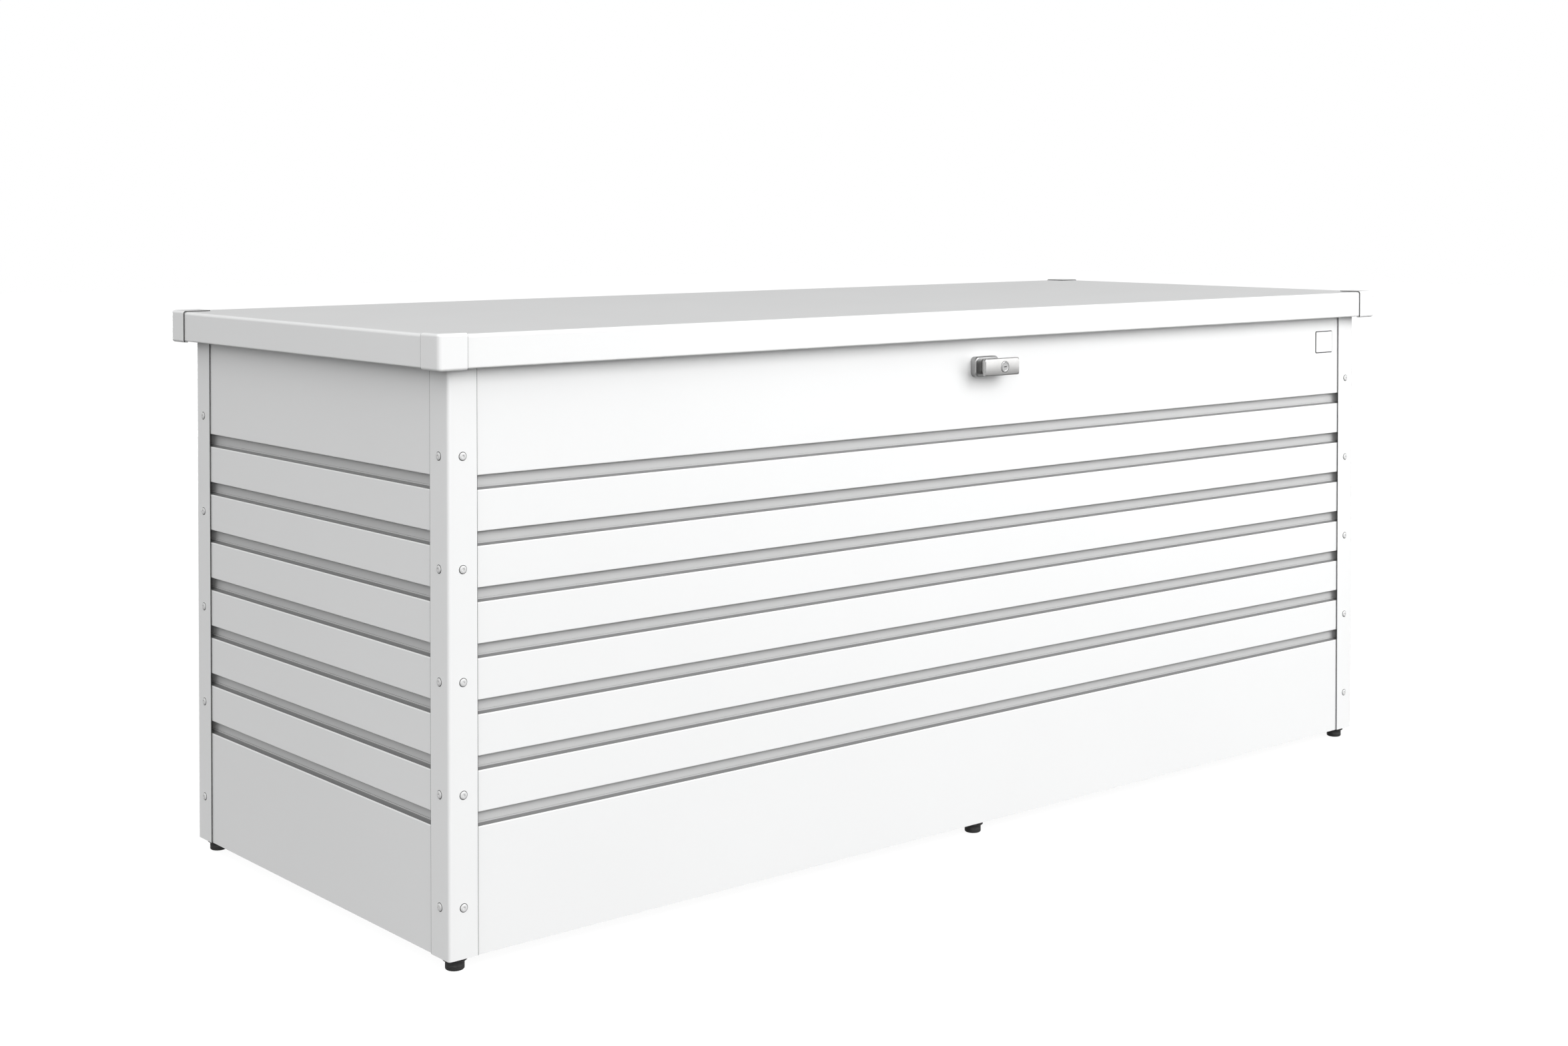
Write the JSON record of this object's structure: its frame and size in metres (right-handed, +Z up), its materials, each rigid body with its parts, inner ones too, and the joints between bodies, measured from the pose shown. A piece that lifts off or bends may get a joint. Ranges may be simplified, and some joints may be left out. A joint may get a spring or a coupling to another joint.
{
  "type": "deck storage box",
  "caption": "Outdoor deck storage box of grooved sheet-steel walls between corner posts, with an overlapping hinged lid on gas springs and a locking turn handle",
  "frame": {"origin": "on the ground, under the middle of the whole object, handle included", "axes": "+X to the right seen from the front, +Y to the rear, +Z up; the handle faces -Y"},
  "size_m": [2, 0.784, 0.8276],
  "materials": {
    "white_powder_coat": "smooth semi-gloss powder coat",
    "white_plastic": "moulded, semi-gloss",
    "plate_metal": "satin",
    "handle_metal": "satin nickel",
    "lock_metal": "polished",
    "screw_steel": "painted screw heads",
    "galvanised_steel": "zinc coated, dull",
    "hinge_steel": "zinc plated",
    "black_plastic": "matte",
    "black_rubber": "matte",
    "black_paint": "gloss black",
    "chrome_rod": "hard chrome"
  },
  "bodies": {
    "box": {"front_wall": "white_powder_coat", "rear_wall": "white_powder_coat", "left_wall": "white_powder_coat", "right_wall": "white_powder_coat", "post_front_left": "white_powder_coat", "post_front_right": "white_powder_coat", "post_rear_left": "white_powder_coat", "post_rear_right": "white_powder_coat", "post_screws": "screw_steel", "front_top_rail": "galvanised_steel", "rear_top_rail": "galvanised_steel", "left_floor_pan": "galvanised_steel", "right_floor_pan": "galvanised_steel", "left_base_rail": "galvanised_steel", "middle_base_rail": "galvanised_steel", "right_base_rail": "galvanised_steel", "foot_front_left": "black_plastic", "foot_front_middle": "black_plastic", "foot_front_right": "black_plastic", "foot_rear_left": "black_plastic", "foot_rear_middle": "black_plastic", "foot_rear_right": "black_plastic", "name_plate": "plate_metal", "handle_rosette": "handle_metal", "spindle_housing": "galvanised_steel", "rod_guides": "galvanised_steel", "left_lower_spring_bracket": "galvanised_steel", "right_lower_spring_bracket": "galvanised_steel", "hinge_left_wall_leaf": "hinge_steel", "hinge_middle_wall_leaf": "hinge_steel", "hinge_right_wall_leaf": "hinge_steel", "hinge_pins": "hinge_steel", "hinge_screws": "hinge_steel", "lid_buffers": "black_rubber"},
    "lid": {"lid_shell": "white_powder_coat", "lid_cap_front_left": "white_plastic", "lid_cap_front_right": "white_plastic", "lid_cap_rear_left": "white_plastic", "lid_cap_rear_right": "white_plastic", "lid_stiffener_left": "galvanised_steel", "lid_stiffener_middle": "galvanised_steel", "lid_stiffener_right": "galvanised_steel", "hinge_left_lid_leaf": "hinge_steel", "hinge_middle_lid_leaf": "hinge_steel", "hinge_right_lid_leaf": "hinge_steel", "left_catch": "galvanised_steel", "right_catch": "galvanised_steel", "left_upper_spring_bracket": "galvanised_steel", "right_upper_spring_bracket": "galvanised_steel"},
    "handle": {"handle_grip": "handle_metal", "handle_spindle": "galvanised_steel", "lock_cam": "galvanised_steel", "lock_barrel": "lock_metal"},
    "lock_plug": {"lock_plug": "lock_metal"},
    "left_lock_rod": {"left_lock_rod": "galvanised_steel"},
    "right_lock_rod": {"right_lock_rod": "galvanised_steel"},
    "left_spring_tube": {"gas_spring_left_tube": "black_paint"},
    "right_spring_tube": {"gas_spring_right_tube": "black_paint"},
    "left_spring_rod": {"gas_spring_left_rod": "chrome_rod"},
    "right_spring_rod": {"gas_spring_right_rod": "chrome_rod"}
  },
  "joints": [
    {"name": "lid_hinge", "type": "hinge", "parent": "box", "child": "lid", "pos_m": [0, 0.37875, 0.788], "axis": [-1, 0, 0], "range_deg": [0, 80]},
    {"name": "handle_turn", "type": "hinge", "parent": "box", "child": "handle", "pos_m": [0, -0.38, 0.736], "axis": [0, 1, 0], "range_deg": [0, 90]},
    {"name": "lock_plug_turn", "type": "hinge", "parent": "handle", "child": "lock_plug", "pos_m": [0.017, -0.389, 0.736], "axis": [0, 1, 0], "range_deg": [0, 90]},
    {"name": "left_rod_slide", "type": "slide", "parent": "box", "child": "left_lock_rod", "axis": [-1, 0, 0], "range_m": [0, 0.02265]},
    {"name": "right_rod_slide", "type": "slide", "parent": "box", "child": "right_lock_rod", "axis": [1, 0, 0], "range_m": [0, 0.02265]},
    {"name": "left_spring_swing", "type": "hinge", "parent": "box", "child": "left_spring_tube", "pos_m": [-0.926, 0.28875, 0.498], "axis": [-1, 0, 0], "range_deg": [0, 10.63]},
    {"name": "left_spring_stroke", "type": "slide", "parent": "left_spring_tube", "child": "left_spring_rod", "axis": [0, -0.0518, 0.9987], "range_m": [0, 0.12218], "stiffness_N_per_m": 330, "springref_m": 0.88},
    {"name": "right_spring_swing", "type": "hinge", "parent": "box", "child": "right_spring_tube", "pos_m": [0.926, 0.28875, 0.498], "axis": [-1, 0, 0], "range_deg": [0, 10.63]},
    {"name": "right_spring_stroke", "type": "slide", "parent": "right_spring_tube", "child": "right_spring_rod", "axis": [0, -0.0518, 0.9987], "range_m": [0, 0.12218], "stiffness_N_per_m": 330, "springref_m": 0.88}
  ],
  "couplings": [
    {"joint": "left_rod_slide", "follows": "handle_turn", "m_per_rad": 0.014405},
    {"joint": "right_rod_slide", "follows": "handle_turn", "m_per_rad": 0.014405},
    {"joint": "left_spring_swing", "follows": "lid_hinge", "ratio": 0.13273},
    {"joint": "left_spring_stroke", "follows": "lid_hinge", "m_per_rad": 0.087432},
    {"joint": "right_spring_swing", "follows": "lid_hinge", "ratio": 0.13273},
    {"joint": "right_spring_stroke", "follows": "lid_hinge", "m_per_rad": 0.087432}
  ]
}
